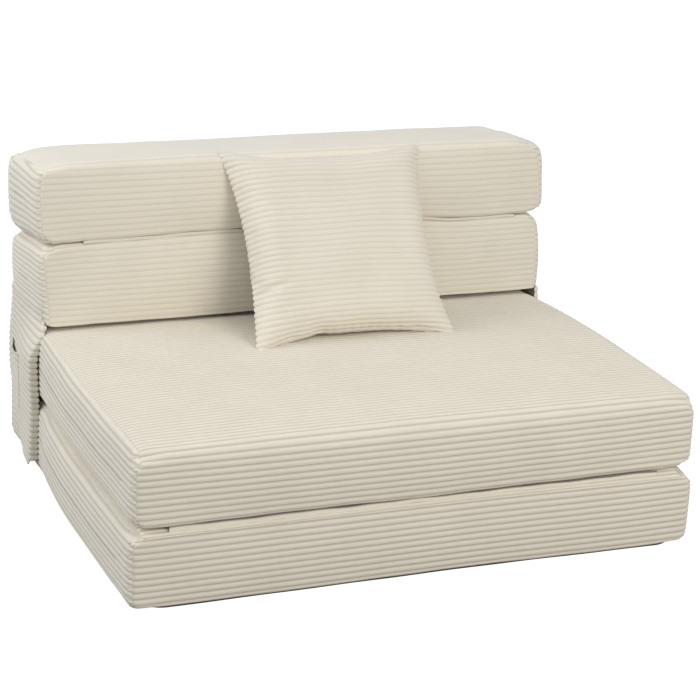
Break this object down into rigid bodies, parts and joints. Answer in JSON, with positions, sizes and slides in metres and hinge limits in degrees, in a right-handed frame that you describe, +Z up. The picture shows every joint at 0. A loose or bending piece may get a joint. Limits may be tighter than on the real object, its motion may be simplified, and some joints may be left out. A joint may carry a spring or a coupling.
{
  "type": "folding floor chair bed",
  "caption": "Low corduroy floor seat of stacked foam blocks on fabric hinges that folds out flat into a single bed, with side flaps and a loose scatter cushion.",
  "frame": {"origin": "on the floor under the middle of the seat's base", "axes": "+X to the right seen from the front, +Y to the rear, +Z up"},
  "size_m": [1.026, 0.81, 0.576],
  "materials": {
    "corduroy": "cream wide-wale corduroy",
    "foam": "open-cell foam",
    "fibre": "loose polyester fibre",
    "base_cloth": "dark non-slip cloth",
    "zip_tape": "woven tape with coil teeth",
    "zip_metal": "plain cast slider"
  },
  "bodies": {
    "lower_seat": {"lower_seat_foam": "foam", "lower_seat_wrap": "corduroy", "lower_seat_left_end": "corduroy", "lower_seat_right_end": "corduroy", "lower_seat_zip": "zip_tape", "lower_seat_zip_slider": "zip_metal", "base_sheet": "base_cloth", "seat_strip": "corduroy"},
    "upper_seat": {"upper_seat_foam": "foam", "upper_seat_wrap": "corduroy", "upper_seat_left_end": "corduroy", "upper_seat_right_end": "corduroy", "upper_seat_zip": "zip_tape", "upper_seat_zip_slider": "zip_metal", "rear_strip": "corduroy"},
    "lower_back": {"lower_back_foam": "foam", "lower_back_wrap": "corduroy", "lower_back_left_end": "corduroy", "lower_back_right_end": "corduroy", "lower_back_zip": "zip_tape", "lower_back_zip_slider": "zip_metal", "back_strip": "corduroy"},
    "upper_back": {"upper_back_foam": "foam", "upper_back_wrap": "corduroy", "upper_back_left_end": "corduroy", "upper_back_right_end": "corduroy", "upper_back_zip": "zip_tape", "upper_back_zip_slider": "zip_metal"},
    "left_flap": {"left_flap": "corduroy", "flap_pocket": "corduroy"},
    "right_flap": {"right_flap": "corduroy"},
    "pillow": {"pillow_filling": "fibre", "pillow_front": "corduroy", "pillow_back": "corduroy", "pillow_zip": "zip_tape"}
  },
  "joints": [
    {"name": "seat_fold", "type": "hinge", "parent": "lower_seat", "child": "upper_seat", "pos_m": [0, -0.406, 0.135], "axis": [1, 0, 0], "range_deg": [0, 180]},
    {"name": "back_fold", "type": "hinge", "parent": "upper_seat", "child": "lower_back", "pos_m": [0.005, 0.406, 0.267], "axis": [-1, 0, 0], "range_deg": [0, 180]},
    {"name": "back_top_fold", "type": "hinge", "parent": "lower_back", "child": "upper_back", "pos_m": [0.005, 0.194, 0.427], "axis": [1, 0, 0], "range_deg": [0, 180]},
    {"name": "left_flap_swing", "type": "hinge", "parent": "lower_back", "child": "left_flap", "pos_m": [-0.49618, 0.3, 0.3023], "axis": [0, 1, 0], "range_deg": [0, 90]},
    {"name": "right_flap_swing", "type": "hinge", "parent": "lower_back", "child": "right_flap", "pos_m": [0.50618, 0.3, 0.3023], "axis": [0, -1, 0], "range_deg": [0, 90]},
    {"name": "pillow_lift", "type": "slide", "parent": "upper_seat", "child": "pillow", "axis": [0, 0, 1], "range_m": [0, 0.35]}
  ],
  "couplings": [
    {"joint": "back_top_fold", "follows": "back_fold", "ratio": 1}
  ]
}
